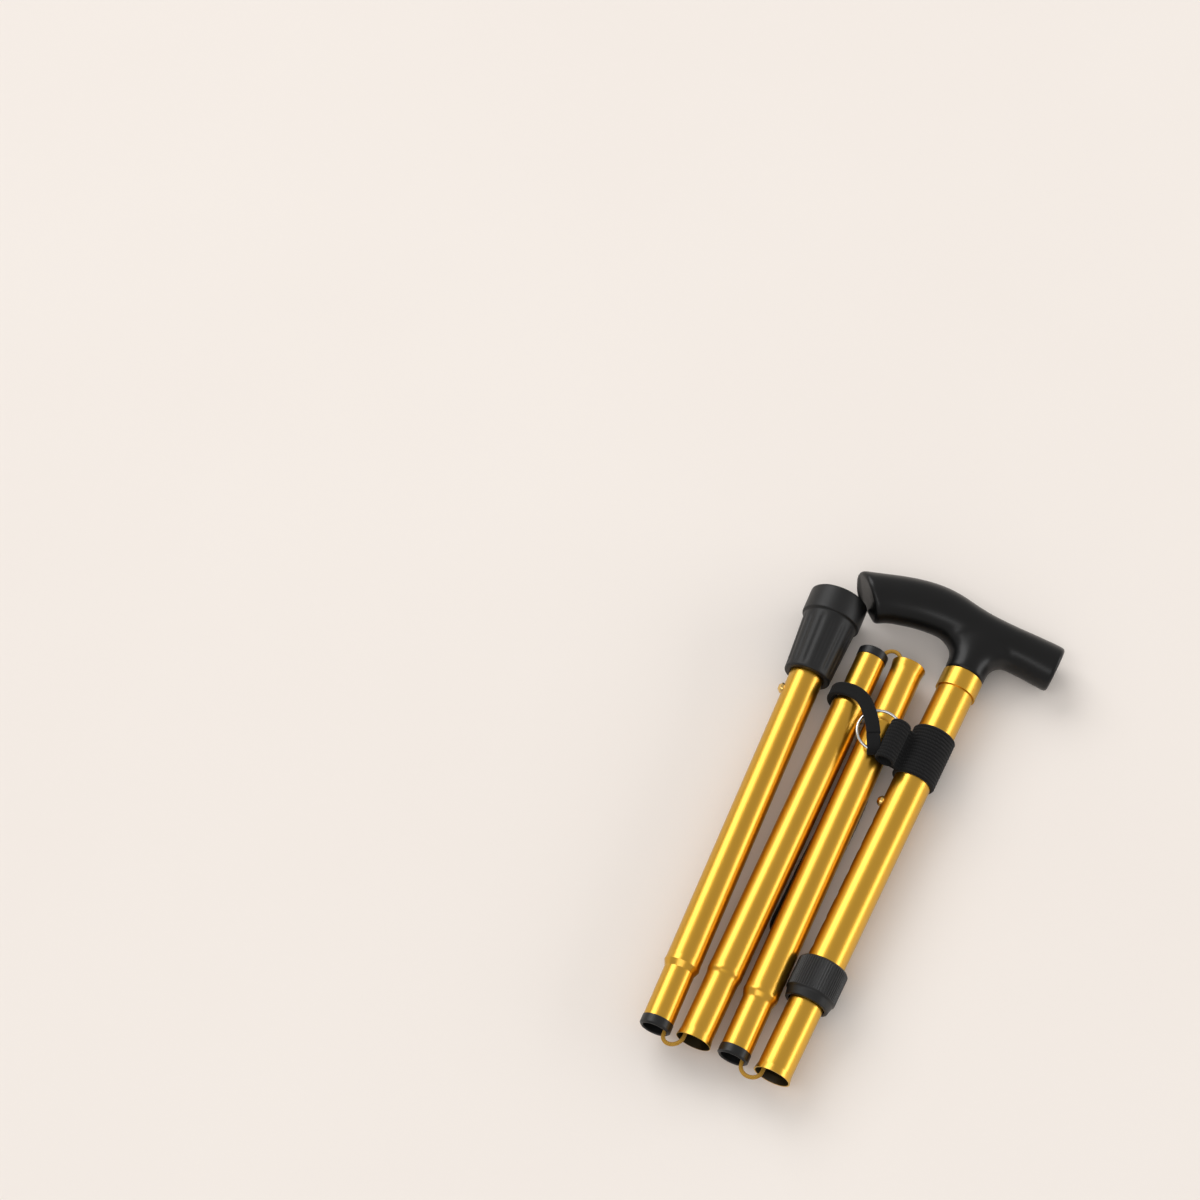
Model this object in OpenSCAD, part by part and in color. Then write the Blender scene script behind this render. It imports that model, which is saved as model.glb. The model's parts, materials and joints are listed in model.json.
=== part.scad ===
// Folding walking cane, folded flat on a table.
// +Y runs along the tubes towards the handle, +X across them, +Z up.
// Four sections lie side by side: A with the handle, then B, C and D with the rubber tip.

/* [Tubes] */
// Outer diameter of the handle's tube
tube_d = 22; // [19:0.5:26]
// Wall of every aluminium tube
wall = 0.8; // [0.6:0.1:1]
// Radial gap between a tube and the one that slides in it
fit_gap = 0.2; // [0.15:0.05:0.3]
// Length of sections B and C, from cap to mouth
section_l = 259; // [240:1:290]
// How much longer section D is, from cap to the tip's tread
tip_over = 25.5; // [20:0.5:30]
// Length of the neck that stands in the next mouth
neck_l = 30.5; // [25:0.5:33]
// Length of the step from neck to full tube
step_l = 3.5; // [2:0.5:5]
// Length of a flared mouth
flare_l = 4; // [2:0.5:6]
// Radial growth of a flared mouth
flare_w = 0.7; // [0.3:0.1:1]
// Height of the bead at a step
bead_h = 0.3; // [0.1:0.1:0.5]
// Depth of a rolled groove
groove_h = 0.3; // [0.2:0.1:0.6]
// Width of a rolled groove
groove_w = 3; // [2.5:0.5:4]
// Distance of the groove that stops the next cap from a flared mouth
stop_l = 41; // [40.5:0.5:50]

/* [Fold] */
// Distance from section A's axis to section B's at the lower end
b_pitch = 23.5; // [23:0.5:30]
// Distance from section B's axis to section C's at the lower end
c_pitch = 23; // [22.5:0.5:30]
// Distance from section C's axis to section D's at the lower end
d_pitch = 22; // [21.5:0.5:30]
// How far section B's lower end lies above A's mouth
b_lift = -0.5; // [-3:0.5:3]
// How far section C's lower end lies above A's mouth
c_lift = -1; // [-3:0.5:3]
// How far section D's lower end lies above A's mouth
d_lift = -4; // [-6:0.5:3]
// Angle in degrees that section B leans out
b_fan = 1.6; // [1.2:0.1:2]
// Angle in degrees that section C leans out
c_fan = 1.3; // [1.2:0.1:1.6]
// Angle in degrees that section D leans out
d_fan = 3.2; // [2.8:0.1:4]

/* [Handle] */
// How far the handle's stem starts above the folded sections
stem_gap = 6.5; // [4:0.5:12]
// Reach of the heel from the tube's axis
heel_reach = 46; // [38:1:48]
// Reach of the nose's middle from the tube's axis
nose_reach = 72; // [66:1:76]
// Height of the arm's middle above the stem's foot
arm_rise = 31; // [29:0.5:36]
// Thickness of the arm
arm_h = 27; // [22:0.5:29]
// Width of the arm
arm_w = 26; // [24:0.5:30]
// Height of the hump in front of the stem
hump_h = 4.5; // [0:0.5:6]
// Distance of the hump's top from the tube's axis
hump_reach = 27; // [20:1:34]
// Length of the hump's flank
hump_l = 19; // [14:1:24]
// Turn of the arm about the tube's axis in degrees, nose up
arm_roll = 5.5; // [0:0.5:5.5]
// Drop of the nose
nose_drop = 7.2; // [5:0.2:12]
// Slant of the nose's end face in degrees
nose_lean = 40; // [25:1:45]
// Diameter of the stem's foot
stem_d = 24.4; // [24:0.1:27]
// Radius of the hollow between stem and arm
stem_fillet = 14; // [9:0.5:15]
// Rounding of the arm's ends
end_round = 2; // [1:0.5:3]
// Depth of the tube's socket in the handle
socket_l = 30; // [22:1:32]
// Height of the gold ring below the handle
ring_h = 11.5; // [8:0.5:15]
// Wall of the gold ring
ring_wall = 1; // [0.6:0.1:1.4]

/* [Height setting] */
// Number of height holes
hole_n = 7; // [5:1:7]
// Distance of the top hole below the elastic band
hole_gap = 18; // [14:1:24]
// Distance of the lowest hole above the lock collar
hole_low = 8; // [5:1:12]
// Diameter of a snap button
button_d = 6.4; // [5:0.2:7]
// How far a snap button stands out of its tube
button_out = 2.6; // [2:0.1:3]
// Gap round a snap button in its holes
button_gap = 0.2; // [0.1:0.05:0.4]
// Length of inner tube that shows below the lock collar
inner_show = 45; // [36:1:50]
// Outer diameter of the lock collar
lock_d = 29; // [28:0.5:31]
// Length of the lock collar
lock_l = 25; // [23:1:30]
// Ribs round the lock collar
lock_rib_n = 40; // [24:2:48]

/* [Wrist strap] */
// Length of bare tube between the gold ring and the elastic band
band_gap = 29.5; // [24:0.5:34]
// Width of the elastic band along the tube
band_l = 32.5; // [26:0.5:36]
// Thickness of the elastic band
band_h = 1.8; // [1.2:0.1:2.4]
// Ribs along the elastic band
band_rib_n = 14; // [8:1:18]
// Middle radius of the steel ring
ring_r = 12.6; // [12:0.2:13]
// Wire diameter of the steel ring
wire_d = 1.8; // [1.4:0.1:2.2]
// Width of the strap's doubled tape
tape_w = 8; // [6:0.5:9]
// Thickness of the strap's doubled tape
tape_h = 2.6; // [2:0.2:3]
// Diameter of the wrist loop's cord
loop_d = 4; // [3.6:0.1:4.2]
// Wall of the crimp sleeve
crimp_wall = 0.6; // [0.4:0.1:0.8]
// Length of the crimp sleeve
crimp_l = 17; // [12:1:20]

/* [Rubber tip] */
// Diameter of the tip's tread flange
flange_d = 35; // [32:0.5:38]
// Length of the tread flange
flange_l = 16; // [12:0.5:18]
// Diameter of the tip below the flange
tip_d = 32; // [29:0.5:33]
// Diameter of the tip's mouth
tip_mouth_d = 27.6; // [26:0.2:29]
// Whole length of the tip
tip_l = 54; // [46:1:58]
// Thickness of rubber under the washer
tip_base_h = 9; // [7:0.5:12]
// Depth of the tread grooves
tread_h = 1.6; // [1:0.2:2.4]
// Tread rings on the base
tread_n = 3; // [2:1:4]

/* [Elastic cord] */
// Diameter of the elastic cord
cord_d = 3; // [2.4:0.2:3.2]
// Height of a section's black cap
cap_l = 5.5; // [4:0.5:7]
// Radial gap between a cap and the mouth it enters
cap_gap = 0.2; // [0.15:0.05:0.3]

/* [Hidden] */
$fn = 64;

// Colours
gold = "goldenrod";
brass = "darkgoldenrod";
black = "#232323";
rubber = "#1c1c1c";
steel = "silver";
elastic = "#8a6420";

// Fits that all pieces share
over = 1;
seat_gap = 0.05;
tube_r = tube_d / 2;
section_r = tube_r - wall - fit_gap;
socket_r = section_r - wall;
cap_r = socket_r - cap_gap;
neck_r = cap_r - cap_gap;
foot_r = socket_r - fit_gap;
axis_h = flange_d / 2;
neck_end = cap_l + neck_l;

// Lock collar, its bush and clamp ring
lock_gap = 0.3;
lock_lip_l = 6;
lock_lip_h = 1.6;
lock_top_h = 2;
lock_chamfer = 1.6;
lock_nose_l = 5.5;
lock_nose_in = 1.6;
rib_d = 1.1;
clamp_slit = 1.5;
bush_wall = 1.6;
bush_r = tube_r + bush_wall;
lock_bore_r = bush_r + lock_gap;
lock_lip_r = section_r + 2 * lock_gap;
lock_top_r = tube_r + 2 * lock_gap;
bush_l = lock_l - lock_lip_l - lock_top_h - lock_gap;
clamp_l = lock_lip_l - lock_lip_h - 2 * lock_gap;

// Handle section
section_d_l = section_l + tip_over;
outer_y = inner_show + lock_lip_l;
stem_y = section_l + stem_gap;
ring_y = stem_y - ring_h;
band_y = ring_y - band_gap - band_l;
outer_l = stem_y + socket_l - outer_y;
arm_l = heel_reach + nose_reach;
arm_ring_n = 26;
arm_side_n = 24;
stem_ring_n = 12;
stem_foot = arm_rise - arm_h / 2 - stem_fillet;
stem_fillet_share = 0.98;
stem_swell_share = 0.3;
nose_bend_share = 0.28;
heel_share = 0.95;
end_shares = [0, 0.15, 0.5, 1];

// Snap buttons and their springs
hole_top = band_y - hole_gap;
hole_pitch = (hole_top - inner_show - lock_l - hole_low) / (hole_n - 1);
inner_over = 40;
inner_l = hole_top + inner_over;
hole_r = button_d / 2 + button_gap;
button_lip = 1.2;
button_foot_r = button_d / 2 + button_lip;
button_foot_h = 1;
button_dome_share = 0.5;
leaf_h = 0.6;
leaf_w = 5;
leaf_l = 24;
leaf_gap = 0.1;
tip_button_lift = 12;

// Elastic cord
cord_r = cord_d / 2;
cord_side_n = 8;
cap_bore_r = 7;
cap_funnel = 0.6;
cap_shank_l = 12;
cap_round = 1;
anchor_h = 5;
anchor_room = 55;
anchor_y = hole_top - anchor_room;
end_room = 60.5;
end_anchor_y = section_d_l - tip_l - end_room;
knot_d = 7;
tail_l = 50;
tail_split = end_anchor_y - tail_l;
bend_lean = 5.4;
bend_drop = 6.5;
bend_n = 10;
tail_shares = [1, 0.8, 0.4, 0.12];
lean_shares = [0, 0, 0.5, 0.95];

// Steel ring, rolled tab and band
wire_r = wire_d / 2;
band_r = tube_r + seat_gap + band_h;
rib_h = 0.35;
tab_l = 21;
tab_h = 1.2;
tab_room = 0.2;
ring_gap = 3;
ring_x = -28.5;
ring_off = 15.5;
ring_mid_y = band_y + ring_off;
ring_z = axis_h + section_r + ring_gap;
chord_x = sqrt(ring_r * ring_r - tab_l * tab_l / 4);
roll_x = ring_x + (ring_r + chord_x) / 2;
wire_in_x = sqrt(pow(ring_r - wire_r, 2) - tab_l * tab_l / 4);
roll_bore_r = (ring_r + chord_x) / 2 - wire_in_x + tab_room;
roll_r = roll_bore_r + tab_h;

// Rubber tip
flange_r = flange_d / 2;
tip_y = section_d_l - tip_l;
tip_round = 1;
mouth_in = 12;
washer_h = 1.6;
foot_in = 20;
tread_w = 1.8;

// Places of sections B, C and D, from A's axis and mouth
b_x = -b_pitch;
c_x = b_x - c_pitch;
d_x = c_x - d_pitch;

// Rings of the handle's arm, from heel to nose
arm_places = concat([for (s = end_shares) s * end_round],
    [for (i = [1 : arm_ring_n - 1]) end_round + (arm_l - 2 * end_round) * i / arm_ring_n],
    [for (s = reversed(end_shares)) arm_l - s * end_round]);
arm_rings = [for (s = arm_places) arm_ring(heel_reach - s, end_in(min(s, arm_l - s)))];

// The origin lies under the middle of the folded cane's box
x_left = d_x - section_d_l * sin(d_fan) - flange_r * cos(d_fan);
x_right = max([for (ring = arm_rings) for (p = ring) p[0] * cos(arm_roll) + p[2] * sin(arm_roll)]);
y_top = stem_y + max([for (ring = arm_rings) for (p = ring) p[1]]);
y_bottom = min(b_lift / 2, (c_lift + d_lift) / 2) - bend_drop - cord_r;
a_x = -(x_right + x_left) / 2;
a_y = -(y_top + y_bottom) / 2;

// Routes of the strap, from A's axis, the ring's middle and the table, chosen by hand
eye_route = [[-26, -13.9, 32.8], [-28.3, -8.5, 33], [-32.5, -0.5, 33.2], [-38.5, 8, 33], [-45, 14, 32],
    [-52, 16.5, 30], [-58, 17, 27], [-62.5, 17, 22.5], [-64.5, 17, 17], [-64.5, 17, 12], [-62.8, 17, 7],
    [-59.6, 17, 3.9], [-55.7, 17, 3]];
loop_route = [[-37.2, 14.9, 3], [-33.75, 13.8, 2.8], [-30.6, 10.7, 2.4], [-29.5, 6.4, 2.2],
    [-30.2, -4.5, 2.2], [-32, -17.5, 2.2], [-34, -30.5, 2.2], [-35.6, -43.5, 2.2], [-36.7, -56.5, 2.2],
    [-37.3, -69.5, 2.2], [-37.4, -81.5, 2.2], [-37.4, -93.5, 2.2], [-37.4, -105.5, 2.2],
    [-37.4, -113.5, 2.2], [-37.4, -120, 2.2], [-36.3, -124.2, 2.2], [-33.2, -127.3, 2.2],
    [-29, -128.4, 2.2], [-24.8, -127.3, 2.2], [-21.7, -124.2, 2.2], [-20.6, -120, 2.2],
    [-20.6, -113.5, 2.2], [-20.6, -103.5, 2.2], [-20.6, -91.5, 2.2], [-20.6, -79.5, 2.2],
    [-20.6, -67.5, 2.2], [-20.6, -55.5, 2.2], [-20.8, -43.5, 2.2], [-21.4, -31.5, 2.2],
    [-22.4, -19.5, 2.2], [-23.6, -7.5, 2.2], [-24.5, 0.5, 2.2], [-24.6, 6.1, 2.2], [-26.3, 12.6, 2.4],
    [-31.1, 17.4, 2.8], [-37.2, 19.1, 3]];
crimp_mid = [-55, 17, 3];
crimp_groove_n = 5;
crimp_groove_h = 0.3;
crimp_groove_w = 1;

// Places things in the frames of the four sections
module at_ring() translate([a_x, a_y + ring_mid_y, 0]) children();
module at_a() translate([a_x, a_y, axis_h]) children();
module at_b() translate([a_x + b_x, a_y + b_lift, axis_h]) rotate([0, 0, b_fan]) children();
module at_c() translate([a_x + c_x, a_y + c_lift, axis_h]) rotate([0, 0, c_fan]) children();
module at_d() translate([a_x + d_x, a_y + d_lift, axis_h]) rotate([0, 0, d_fan]) children();

// Turns section C's pieces over, because its neck is at the top
module turned() translate([0, section_l, 0]) rotate([0, 0, 180]) children();

// Turns a body of revolution so that its axis runs along +Y from y
module along(y) translate([0, y, 0]) rotate([-90, 0, 0]) children();

// Pipe along +Y
module pipe(y, l, r, bore) along(y) difference() {
    cylinder(h = l, r = r);
    translate([0, 0, -over]) cylinder(h = l + 2 * over, r = bore);
}

// Round hole through the wall on the -X side at height y
module side_hole(y, r) translate([0, y, 0]) rotate([0, -90, 0]) cylinder(h = tube_d, r = r);

// Side of a section's wall, set in by the wall: neck, step with its bead, tube, then a flared or plain end.
// A flared end has a rolled groove, which stops the next section's cap.
function rolled(r, y) = [[r, y - groove_w / 2], [r - groove_h, y], [r, y + groove_w / 2]];
function wall_side(in, l, flare) = concat(
    [[neck_r - in, cap_l], [neck_r - in, neck_end], [section_r - in + bead_h, neck_end + step_l],
        [section_r - in, neck_end + 2 * step_l]],
    flare > 0 ? rolled(section_r - in, l - stop_l) : [],
    [[section_r - in, l - flare_l], [section_r - in + flare, l]]);
function reversed(list) = [for (i = [len(list) - 1 : -1 : 0]) list[i]];
module section_tube(l, flare) along(0) rotate_extrude()
    polygon(concat(wall_side(0, l, flare), reversed(wall_side(wall, l, flare))));

// Black cap with a funnelled bore, pushed into a neck
module cap() along(0) rotate_extrude() polygon([
    [cap_bore_r + cap_funnel, 0], [cap_r - cap_round, 0], [cap_r, cap_round], [cap_r, cap_l],
    [neck_r - wall - seat_gap, cap_l], [neck_r - wall - seat_gap, cap_l + cap_shank_l],
    [cap_bore_r, cap_l + cap_shank_l], [cap_bore_r, cap_funnel]]);

// Snap button on the -X side: domed head, straight neck and a foot inside the tube
function foot_top(bore) = sqrt(bore * bore - button_foot_r * button_foot_r) - fit_gap;
module button(y, bore, reach) translate([0, y, 0]) rotate([0, -90, 0]) rotate_extrude() polygon([
    [0, foot_top(bore) - button_foot_h], [button_foot_r, foot_top(bore) - button_foot_h],
    [button_foot_r, foot_top(bore)], [button_d / 2, foot_top(bore)],
    [button_d / 2, reach - button_d / 2 * button_dome_share], [button_d / 2 * button_dome_share, reach],
    [0, reach]]);

// Bent leaf behind a button: a strip under its foot, a turn and a strip on the far wall
module leaf_spring(y, bore) {
    front = foot_top(bore) - button_foot_h - leaf_gap;
    back = sqrt(bore * bore - leaf_w * leaf_w / 4) - fit_gap;
    turn_r = (front + back) / 2;
    translate([0, y, -leaf_w / 2]) {
        translate([-front, -leaf_w / 2, 0]) cube([leaf_h, leaf_l + leaf_w / 2, leaf_w]);
        translate([back - leaf_h, 0, 0]) cube([leaf_h, leaf_l, leaf_w]);
        translate([(back - front) / 2, leaf_l, 0]) intersection() {
            difference() {
                cylinder(h = leaf_w, r = turn_r);
                translate([0, 0, -over]) cylinder(h = leaf_w + 2 * over, r = turn_r - leaf_h);
            }
            translate([-turn_r - over, 0, -over])
                cube([2 * (turn_r + over), turn_r + over, leaf_w + 2 * over]);
        }
    }
}

// Closed skin over a list of rings
module loft(rings) {
    sides = len(rings[0]);
    last = len(rings) - 1;
    skin = [for (i = [0 : last - 1]) for (j = [0 : sides - 1]) for (k = [0, 1])
        let (a = i * sides + j, b = i * sides + (j + 1) % sides)
        k == 0 ? [a, b, a + sides] : [b, b + sides, a + sides]];
    first_cap = [for (j = [1 : sides - 2]) [0, j + 1, j]];
    last_cap = [for (j = [1 : sides - 2]) [last * sides, last * sides + j, last * sides + j + 1]];
    polyhedron([for (ring = rings) for (p = ring) p], concat(skin, first_cap, last_cap));
}

// Tube of given width and height swept along a route; the width lies along the direction ref
function unit(v) = v / norm(v);
function heading(route, i) = unit(route[min(i + 1, len(route) - 1)] - route[max(i - 1, 0)]);
function sweep_ring(p, t, ref, w, h, n) = let (s = unit(ref - (ref * t) * t), q = cross(s, t))
    [for (j = [0 : n - 1]) p + s * (w / 2) * cos(360 * j / n) + q * (h / 2) * sin(360 * j / n)];
module sweep(route, ref, w, h, n) loft([for (i = [0 : len(route) - 1])
    sweep_ring(route[i], heading(route, i), ref, w, h, n)]);

// Handle's arm: rings from heel to nose, which drops and slants towards its end
function nose_share(u) = max(0, (-nose_reach * nose_bend_share - u) / (nose_reach * (1 - nose_bend_share)));
function hump(u) = hump_h * exp(-pow((u + hump_reach) / hump_l, 2));
function end_in(d) = d >= end_round ? 0 : end_round - sqrt(end_round * end_round - pow(end_round - d, 2));
function arm_ring(u, inset) = let (k = nose_share(u), lean = nose_lean * k * k, heel = max(0, u) / heel_reach,
        h = arm_h / 2 * (1 - (1 - heel_share) * heel) - inset,
        w = arm_w / 2 * (1 - (1 - heel_share) * (heel + k)) - inset)
    [for (j = [0 : arm_side_n - 1]) let (p = h * cos(360 * j / arm_side_n))
        [u - p * sin(lean), arm_rise + hump(u) - nose_drop * k * k + p * cos(lean),
            w * sin(360 * j / arm_side_n)]];

// Handle's stem: rings that widen in a hollow up to the arm
function stem_grow(v) = let (d = min(max(v - stem_foot, 0), stem_fillet * stem_fillet_share))
    stem_fillet - sqrt(stem_fillet * stem_fillet - d * d);
function stem_ring(v) = let (w = stem_d / 2 + stem_grow(v),
        h = stem_d / 2 + (arm_w - stem_d) * stem_swell_share * v / arm_rise)
    [for (j = [0 : arm_side_n - 1]) [w * cos(360 * j / arm_side_n), v, h * sin(360 * j / arm_side_n)]];

module handle_grip() color(black) at_a() translate([0, stem_y, 0]) difference() {
    union() {
        rotate([0, arm_roll, 0]) loft(arm_rings);
        loft([for (i = [0 : stem_ring_n]) stem_ring(arm_rise * i / stem_ring_n)]);
    }
    along(-over) cylinder(h = socket_l + over, r = tube_r + seat_gap);
}

module collar_ring() color(gold) at_a()
    pipe(ring_y, ring_h - seat_gap, tube_r + seat_gap + ring_wall, tube_r + seat_gap);

module outer_tube() color(gold) at_a() difference() {
    pipe(outer_y, outer_l, tube_r, tube_r - wall);
    for (i = [0 : hole_n - 1]) side_hole(hole_top - i * hole_pitch, hole_r);
}

module collar_bush() color(black) at_a() pipe(outer_y, bush_l, bush_r, tube_r + seat_gap);

module clamp_ring() color(steel) at_a() difference() {
    pipe(outer_y - lock_gap - clamp_l, clamp_l, bush_r, section_r + fit_gap);
    translate([-clamp_slit / 2, outer_y - 2 * lock_gap - clamp_l, 0]) cube([clamp_slit, lock_lip_l, lock_d]);
}

module lock_collar() color(black) at_a() along(inner_show) intersection() {
    linear_extrude(lock_l) difference() {
        circle(d = lock_d);
        for (i = [0 : lock_rib_n - 1]) rotate(360 * i / lock_rib_n) translate([lock_d / 2, 0])
            circle(d = rib_d, $fn = 16);
    }
    rotate_extrude() polygon([[lock_lip_r, 0], [lock_d / 2 - lock_nose_in, 0], [lock_d / 2, lock_nose_l],
        [lock_d / 2, lock_l - lock_chamfer], [lock_d / 2 - lock_chamfer, lock_l], [lock_top_r, lock_l],
        [lock_top_r, lock_l - lock_top_h], [lock_bore_r, lock_l - lock_top_h], [lock_bore_r, lock_lip_h],
        [lock_lip_r, lock_lip_h]]);
}

module strap_band() color(black) at_a() along(band_y) rotate_extrude() difference() {
    translate([tube_r + seat_gap, 0]) square([band_h, band_l]);
    for (i = [1 : band_rib_n - 1]) translate([band_r, band_l * i / band_rib_n]) circle(r = rib_h, $fn = 16);
}

// Tape rolled round the ring's chord, and the strip that joins the roll to the band's top
module ring_tab() color(black) at_ring() translate([0, -tab_l / 2, 0]) {
    translate([roll_x, 0, ring_z]) pipe(0, tab_l, roll_r, roll_bore_r);
    translate([roll_x + roll_bore_r + tab_h / 2, 0, axis_h + band_r + seat_gap])
        cube([-roll_x - roll_bore_r - tab_h / 2, tab_l, tab_h]);
}

module strap_ring() color(steel) at_ring() translate([ring_x, 0, ring_z])
    rotate_extrude() translate([ring_r, 0]) circle(r = wire_r, $fn = 24);

module strap_eye() color(black) at_ring() sweep(eye_route, [0, 1, 0], tape_w, tape_h, cord_side_n);

// Flat sleeve with two cords side by side, grooved where it is pressed
module sleeve_face(grow) {
    for (s = [-1, 1]) translate([0, s * loop_d / 2]) circle(r = loop_d / 2 + crimp_wall - grow);
    square([2 * (loop_d / 2 + crimp_wall - grow), loop_d], center = true);
}
module cord_crimp() color(steel) at_ring() translate(crimp_mid) rotate([0, 90, 0]) difference() {
    linear_extrude(crimp_l) sleeve_face(0);
    for (i = [1 : crimp_groove_n]) translate([0, 0, crimp_l * i / (crimp_groove_n + 1) - crimp_groove_w / 2])
        linear_extrude(crimp_groove_w) difference() {
            sleeve_face(-over);
            sleeve_face(crimp_groove_h);
        }
}

module strap_loop() color(black) at_ring() sweep(loop_route, [0, 0, 1], loop_d, loop_d, cord_side_n);

module inner_tube() color(gold) at_a() difference() {
    along(0) rotate_extrude() polygon([[section_r + flare_w, 0], [section_r, flare_l], [section_r, inner_l],
        [socket_r, inner_l], [socket_r, flare_l], [socket_r + flare_w, 0]]);
    side_hole(hole_top, hole_r);
}

module snap_spring() color(steel) at_a() leaf_spring(hole_top, socket_r);
module snap_button() color(brass) at_a() button(hole_top, socket_r, tube_r + button_out);

// Elastic cord: discs that hold it, knots and straight stretches inside the tubes
module anchor(y) pipe(y, anchor_h, socket_r - seat_gap, cord_r + fit_gap);
module knot(y) along(y + knot_d / 2) sphere(d = knot_d);
module straight_cord(y, l) along(y) cylinder(h = l, r = cord_r);

module cord_anchor() color(black) at_a() anchor(anchor_y);
module cord_knot() color(elastic) at_a() knot(anchor_y + anchor_h);
module shock_cord_a() color(elastic) at_a() straight_cord(tail_l, anchor_y + anchor_h - tail_l);
module shock_cord_b() color(elastic) at_b() straight_cord(tail_l, section_l - 2 * tail_l);
module shock_cord_c() color(elastic) at_c() straight_cord(tail_l, section_l - 2 * tail_l);
module shock_cord_d() color(elastic) at_d() straight_cord(tail_l, tail_split - tail_l);
module cord_tail() color(elastic) at_d() straight_cord(tail_split, end_anchor_y + anchor_h - tail_split);
module end_anchor() color(black) at_d() anchor(end_anchor_y);
module end_knot() color(elastic) at_d() knot(end_anchor_y + anchor_h);

// Turn of the elastic cord from a mouth on the right to a cap on the left, with a tail up each tube.
// Each side is [x, y, fan, end]: the section's place and lean, and how far up it the end lies.
function on_side(side, p) = let (x = p[0], y = side[3] + p[1])
    [side[0] + x * cos(side[2]) - y * sin(side[2]), side[1] + x * sin(side[2]) + y * cos(side[2]), 0];
function tail(side, lean, up) = [for (i = [0 : len(tail_shares) - 1])
    on_side(side, [lean * lean_shares[i], -up * tail_l * tail_shares[i]])];
function turn_route(mouth, end, up) =
    let (a = on_side(mouth, [-bend_lean, 0]), b = on_side(end, [bend_lean, 0]))
    concat(tail(mouth, -bend_lean, up),
        [for (i = [0 : bend_n]) (a + b) / 2 + (a - b) / 2 * cos(180 * i / bend_n)
            + [0, up * bend_drop * sin(180 * i / bend_n), 0]],
        reversed(tail(end, bend_lean, up)));
a_foot = [0, 0, 0, 0];
b_foot = [b_x, b_lift, b_fan, 0];
b_head = [b_x, b_lift, b_fan, section_l];
c_foot = [c_x, c_lift, c_fan, 0];
c_head = [c_x, c_lift, c_fan, section_l];
d_foot = [d_x, d_lift, d_fan, 0];
module cord_turn(mouth, end, up) color(elastic) at_a()
    sweep(turn_route(mouth, end, up), [0, 0, 1], cord_d, cord_d, cord_side_n);
module cord_bend_1() cord_turn(a_foot, b_foot, -1);
module cord_bend_2() cord_turn(b_head, c_head, 1);
module cord_bend_3() cord_turn(c_foot, d_foot, -1);

module tube_b() color(gold) at_b() section_tube(section_l, flare_w);
module plug_b() color(black) at_b() cap();
module tube_c() color(gold) at_c() turned() section_tube(section_l, flare_w);
module plug_c() color(black) at_c() turned() cap();
module tube_d() color(gold) at_d() difference() {
    section_tube(tip_y + mouth_in, 0);
    side_hole(tip_y - tip_button_lift, hole_r);
}
module plug_d() color(black) at_d() cap();

module foot_tube() color(steel) at_d() difference() {
    pipe(tip_y - foot_in, tip_l + foot_in - tip_base_h - washer_h, foot_r, foot_r - wall);
    side_hole(tip_y - tip_button_lift, hole_r);
}
module tip_spring() color(steel) at_d() leaf_spring(tip_y - tip_button_lift, foot_r - wall);
module tip_button() color(brass) at_d()
    button(tip_y - tip_button_lift, foot_r - wall, section_r + button_out);

module ferrule() color(rubber) at_d() along(tip_y) rotate_extrude() difference() {
    polygon([[section_r + seat_gap, 0], [tip_mouth_d / 2 - tip_round, 0], [tip_mouth_d / 2, tip_round],
        [tip_d / 2, tip_l - flange_l], [flange_r - tip_round, tip_l - flange_l],
        [flange_r, tip_l - flange_l + tip_round], [flange_r, tip_l - tip_round],
        [flange_r - tip_round, tip_l], [0, tip_l], [0, tip_l - tip_base_h],
        [foot_r + seat_gap, tip_l - tip_base_h],
        [foot_r + seat_gap, mouth_in + seat_gap], [section_r + seat_gap, mouth_in + seat_gap]]);
    for (i = [1 : tread_n]) translate([flange_r * i / (tread_n + 1), tip_l - tread_h])
        square([tread_w, tread_h + over]);
}
module ferrule_washer() color(steel) at_d()
    along(section_d_l - tip_base_h - washer_h) cylinder(h = washer_h, r = foot_r);

handle_grip();
collar_ring();
outer_tube();
collar_bush();
clamp_ring();
strap_band();
ring_tab();
strap_eye();
cord_crimp();
strap_loop();
lock_collar();
strap_ring();
inner_tube();
snap_spring();
snap_button();
cord_anchor();
cord_knot();
shock_cord_a();
cord_bend_1();
tube_b();
plug_b();
shock_cord_b();
cord_bend_2();
tube_c();
plug_c();
shock_cord_c();
cord_bend_3();
tube_d();
plug_d();
shock_cord_d();
cord_tail();
end_anchor();
end_knot();
foot_tube();
tip_spring();
tip_button();
ferrule();
ferrule_washer();
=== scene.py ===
"""Looks of a folding walking cane, folded flat on a pale floor. Metres, in the CAD model's frame."""

import json
import math

import bmesh
import bpy
from mathutils import Matrix, Vector

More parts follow.
